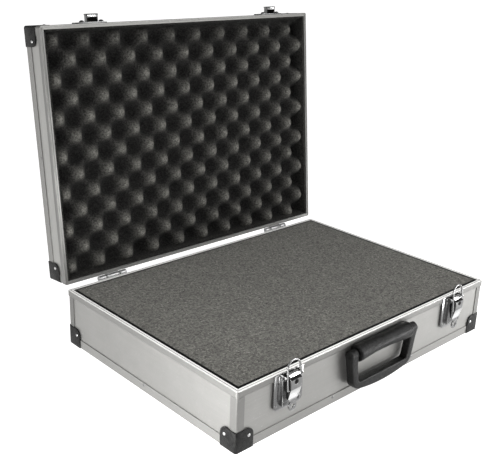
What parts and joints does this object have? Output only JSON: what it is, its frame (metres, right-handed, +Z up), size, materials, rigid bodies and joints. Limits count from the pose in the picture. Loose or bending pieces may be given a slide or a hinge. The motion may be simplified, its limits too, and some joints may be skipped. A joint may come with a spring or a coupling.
{
  "type": "attache case",
  "caption": "Slim metal carrying case standing open, with foam in base and lid, key-lock draw latches, corner guards and a folding handle.",
  "frame": {"origin": "centre of the flat underside of the base", "axes": "+X along the hinge towards the case's left-hand seen from the back, +Y from the handle to the hinge, +Z up"},
  "size_m": [0.4588, 0.4155, 0.4109],
  "materials": {
    "brushed_panel": "satin brushed sheet",
    "bright_rim": "bright extruded section",
    "aluminium_trim": "satin extruded angle",
    "black_plastic": "moulded, lightly textured",
    "rivet_steel": "domed heads",
    "chrome_steel": "bright plated pressing",
    "plated_steel": "plated",
    "lock_steel": "plated plug with a dark keyway",
    "base_foam": "flecked bonded foam",
    "lid_foam": "dark egg-crate foam"
  },
  "bodies": {
    "base": {"base_bottom_panel": "brushed_panel", "base_front_panel": "brushed_panel", "base_back_panel": "brushed_panel", "base_left_panel": "brushed_panel", "base_right_panel": "brushed_panel", "base_rim_front": "bright_rim", "base_rim_back": "bright_rim", "base_rim_left": "bright_rim", "base_rim_right": "bright_rim", "base_edge_front": "aluminium_trim", "base_edge_back": "aluminium_trim", "base_edge_left": "aluminium_trim", "base_edge_right": "aluminium_trim", "base_corner_posts": "aluminium_trim", "base_protector_front_left": "black_plastic", "base_protector_front_right": "black_plastic", "base_protector_back_left": "black_plastic", "base_protector_back_right": "black_plastic", "base_rivets": "rivet_steel", "base_foam": "base_foam", "left_hinge_base_leaf": "plated_steel", "right_hinge_base_leaf": "plated_steel", "hinge_pins": "plated_steel", "left_latch_plate": "chrome_steel", "right_latch_plate": "chrome_steel", "latch_pins": "chrome_steel", "handle_bar": "black_plastic"},
    "lid": {"lid_top_panel": "brushed_panel", "lid_front_panel": "brushed_panel", "lid_back_panel": "brushed_panel", "lid_left_panel": "brushed_panel", "lid_right_panel": "brushed_panel", "lid_rim_front": "bright_rim", "lid_rim_back": "bright_rim", "lid_rim_left": "bright_rim", "lid_rim_right": "bright_rim", "lid_edge_front": "aluminium_trim", "lid_edge_back": "aluminium_trim", "lid_edge_left": "aluminium_trim", "lid_edge_right": "aluminium_trim", "lid_corner_posts": "aluminium_trim", "lid_protector_front_left": "black_plastic", "lid_protector_front_right": "black_plastic", "lid_protector_back_left": "black_plastic", "lid_protector_back_right": "black_plastic", "lid_rivets": "rivet_steel", "lid_egg_crate_foam": "lid_foam", "left_hinge_lid_leaf": "plated_steel", "right_hinge_lid_leaf": "plated_steel", "left_catch": "chrome_steel", "right_catch": "chrome_steel"},
    "left_lever": {"left_latch_lever": "chrome_steel"},
    "right_lever": {"right_latch_lever": "chrome_steel"},
    "left_bail": {"left_latch_bail": "chrome_steel"},
    "right_bail": {"right_latch_bail": "chrome_steel"},
    "left_lock": {"left_lock_plug": "lock_steel"},
    "right_lock": {"right_lock_plug": "lock_steel"},
    "grip": {"handle_grip": "black_plastic", "handle_pins": "plated_steel"}
  },
  "joints": [
    {"name": "lid_hinge", "type": "hinge", "parent": "base", "child": "lid", "pos_m": [0, 0.16555, 0.07425], "axis": [1, 0, 0], "range_deg": [0, 95.7]},
    {"name": "left_lever_hinge", "type": "hinge", "parent": "base", "child": "left_lever", "pos_m": [-0.1544, -0.1675, 0.07], "axis": [-1, 0, 0], "range_deg": [0, 75]},
    {"name": "right_lever_hinge", "type": "hinge", "parent": "base", "child": "right_lever", "pos_m": [0.1544, -0.1675, 0.07], "axis": [-1, 0, 0], "range_deg": [0, 75]},
    {"name": "left_bail_hinge", "type": "hinge", "parent": "left_lever", "child": "left_bail", "pos_m": [-0.1544, -0.1713, 0.0555], "axis": [1, 0, 0], "range_deg": [0, 101.25]},
    {"name": "right_bail_hinge", "type": "hinge", "parent": "right_lever", "child": "right_bail", "pos_m": [0.1544, -0.1713, 0.0555], "axis": [1, 0, 0], "range_deg": [0, 101.25]},
    {"name": "left_lock_turn", "type": "hinge", "parent": "left_lever", "child": "left_lock", "pos_m": [-0.1544, -0.1727, 0.065], "axis": [0, -1, 0], "range_deg": [0, 90]},
    {"name": "right_lock_turn", "type": "hinge", "parent": "right_lever", "child": "right_lock", "pos_m": [0.1544, -0.1727, 0.065], "axis": [0, -1, 0], "range_deg": [0, 90]},
    {"name": "grip_fold", "type": "hinge", "parent": "base", "child": "grip", "pos_m": [0, -0.1687, 0.0595], "axis": [-1, 0, 0], "range_deg": [0, 95]}
  ],
  "couplings": [
    {"joint": "left_bail_hinge", "follows": "left_lever_hinge", "ratio": 1.35},
    {"joint": "right_bail_hinge", "follows": "right_lever_hinge", "ratio": 1.35}
  ]
}
